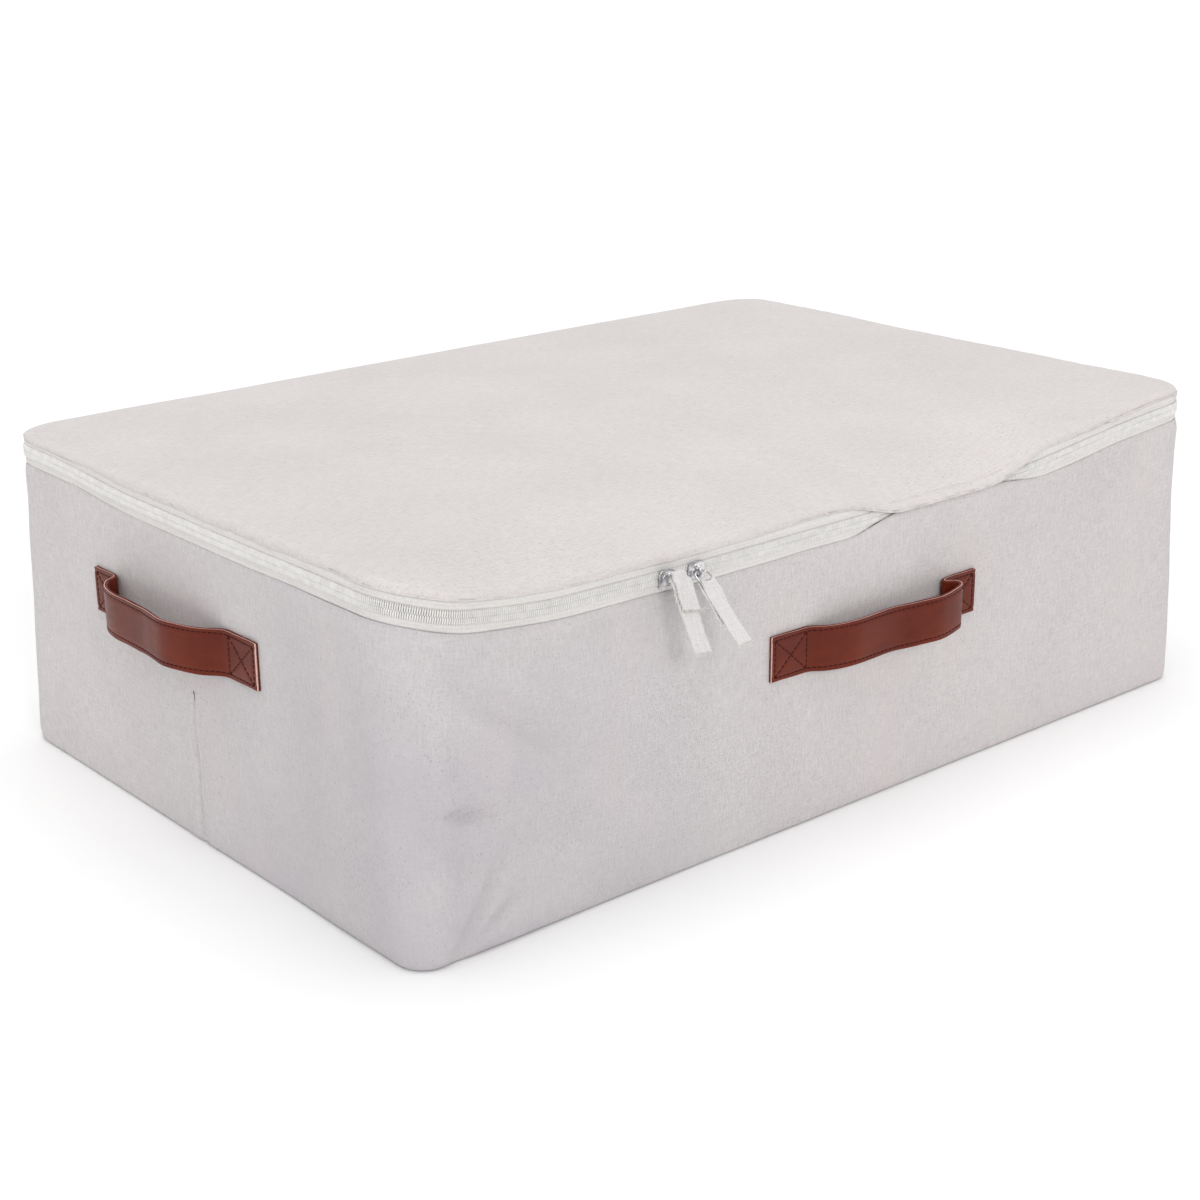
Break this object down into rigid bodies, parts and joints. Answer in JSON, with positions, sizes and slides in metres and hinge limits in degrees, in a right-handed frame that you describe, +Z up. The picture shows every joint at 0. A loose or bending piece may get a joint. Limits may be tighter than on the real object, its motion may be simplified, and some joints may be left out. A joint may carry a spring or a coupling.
{
  "type": "fabric storage box",
  "caption": "Soft-sided storage box with a zipped hinged lid, leather carrying handles, two zipper sliders with ribbon pulls and a loose base board.",
  "frame": {"origin": "on the floor under the middle of the box", "axes": "+X along the front from the side nearer the sliders, +Y from the front to the hinged back, +Z up"},
  "size_m": [0.6376, 0.4386, 0.194],
  "materials": {
    "canvas": "off-white linen and cotton weave",
    "lining": "plain thin cotton",
    "board": "matte grey-brown board",
    "base_board": "board wrapped in canvas",
    "zipper_tape": "fine herringbone tape",
    "zipper_coil": "satin nylon coil",
    "seam_thread": "cotton thread",
    "leather": "semi-gloss red-brown with pale raw edges",
    "leather_thread": "waxed dark red thread",
    "webbing": "plain webbing",
    "nickel": "polished nickel plate",
    "pull_canvas": "folded canvas ribbon with frayed ends"
  },
  "bodies": {
    "box": {"bottom_fabric": "canvas", "wall_fabric": "canvas", "wall_lining": "lining", "bottom_lining": "lining", "front_board": "board", "back_board": "board", "left_board": "board", "right_board": "board", "lower_zipper_tape": "zipper_tape", "lower_zipper_coil": "zipper_coil", "hinge_strip": "canvas", "side_seam_stitching": "seam_thread", "front_handle_backing": "leather", "front_handle_strap": "leather", "front_handle_stitching": "leather_thread", "front_handle_reinforcement": "webbing", "left_handle_backing": "leather", "left_handle_strap": "leather", "left_handle_stitching": "leather_thread", "left_handle_reinforcement": "webbing", "right_handle_backing": "leather", "right_handle_strap": "leather", "right_handle_stitching": "leather_thread", "right_handle_reinforcement": "webbing"},
    "lid": {"lid_fabric": "canvas", "lid_board": "board", "lid_lining": "lining", "upper_zipper_tape": "zipper_tape", "upper_zipper_coil": "zipper_coil"},
    "base_board": {"base_board": "base_board"},
    "left_slider": {"left_slider": "nickel"},
    "left_pull_ring": {"left_pull_ring": "nickel"},
    "left_pull_ribbon": {"left_pull_ribbon": "pull_canvas"},
    "right_slider": {"right_slider": "nickel"},
    "right_pull_ring": {"right_pull_ring": "nickel"},
    "right_pull_ribbon": {"right_pull_ribbon": "pull_canvas"}
  },
  "joints": [
    {"name": "lid_hinge", "type": "hinge", "parent": "box", "child": "lid", "pos_m": [0, 0.2004, 0.181], "axis": [-1, 0, 0], "range_deg": [0, 180]},
    {"name": "base_board_lift", "type": "slide", "parent": "box", "child": "base_board", "axis": [0, 0, 1], "range_m": [0, 0.155]},
    {"name": "left_slider_run", "type": "slide", "parent": "box", "child": "left_slider", "axis": [-1, 0, 0], "range_m": [0, 0.08]},
    {"name": "right_slider_run", "type": "slide", "parent": "box", "child": "right_slider", "axis": [1, 0, 0], "range_m": [0, 0.26]},
    {"name": "left_ring_lift", "type": "hinge", "parent": "left_slider", "child": "left_pull_ring", "pos_m": [-0.142, -0.204, 0.1664], "axis": [-1, 0, 0], "range_deg": [0, 60]},
    {"name": "right_ring_lift", "type": "hinge", "parent": "right_slider", "child": "right_pull_ring", "pos_m": [-0.1225, -0.204, 0.1664], "axis": [-1, 0, 0], "range_deg": [0, 100]},
    {"name": "left_ribbon_lift", "type": "hinge", "parent": "left_pull_ring", "child": "left_pull_ribbon", "pos_m": [-0.142, -0.21154, 0.17168], "axis": [-1, 0, 0], "range_deg": [-27, 90]},
    {"name": "right_ribbon_lift", "type": "hinge", "parent": "right_pull_ring", "child": "right_pull_ribbon", "pos_m": [-0.1225, -0.21197, 0.1618], "axis": [-1, 0, 0], "range_deg": [-45, 75]}
  ]
}
